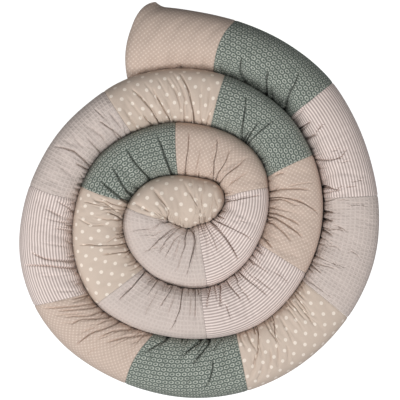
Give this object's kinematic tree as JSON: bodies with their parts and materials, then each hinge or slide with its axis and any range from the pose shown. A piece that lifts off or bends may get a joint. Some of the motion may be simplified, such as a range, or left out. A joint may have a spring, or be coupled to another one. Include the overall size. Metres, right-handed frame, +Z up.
{
  "type": "crib bumper",
  "caption": "Long stuffed patchwork tube that cushions the sides of a cot, wound clockwise into a flat coil, with a flat-sewn outer end and a round inner end.",
  "frame": {"origin": "middle of the bounding box's base, on the surface the coil lies on", "axes": "+Z up out of the flat coil; +Y across the coil towards its open outer end, the longer way across; +X to the right seen from above, the coil winding clockwise inwards"},
  "size_m": [0.7302, 0.8058, 0.1113],
  "materials": {
    "small_print_cotton": "matt woven cotton, sand with a tiny cream dotted print",
    "ring_print_cotton": "matt woven cotton, sage green with rows of small light rings",
    "stripe_cotton": "matt woven cotton, narrow lengthwise stripes of cream and grey rose",
    "waffle_cotton": "matt cotton waffle weave, pale greige",
    "polka_dot_cotton": "matt woven cotton, sand with cream polka dots"
  },
  "bodies": {
    "root": {"panel_01_small_print": "small_print_cotton", "panel_02_ring_print": "ring_print_cotton", "panel_03_stripe": "stripe_cotton", "panel_04_waffle": "waffle_cotton", "panel_05_polka_dot": "polka_dot_cotton", "panel_06_ring_print": "ring_print_cotton", "panel_07_small_print": "small_print_cotton", "panel_08_stripe": "stripe_cotton", "panel_09_waffle": "waffle_cotton", "panel_10_polka_dot": "polka_dot_cotton", "panel_11_ring_print": "ring_print_cotton", "panel_12_small_print": "small_print_cotton", "panel_13_stripe": "stripe_cotton", "panel_14_waffle": "waffle_cotton", "panel_15_polka_dot": "polka_dot_cotton", "panel_16_ring_print": "ring_print_cotton", "panel_17_small_print": "small_print_cotton", "panel_18_stripe": "stripe_cotton", "panel_19_waffle": "waffle_cotton", "panel_20_polka_dot": "polka_dot_cotton"}
  },
  "joints": []
}
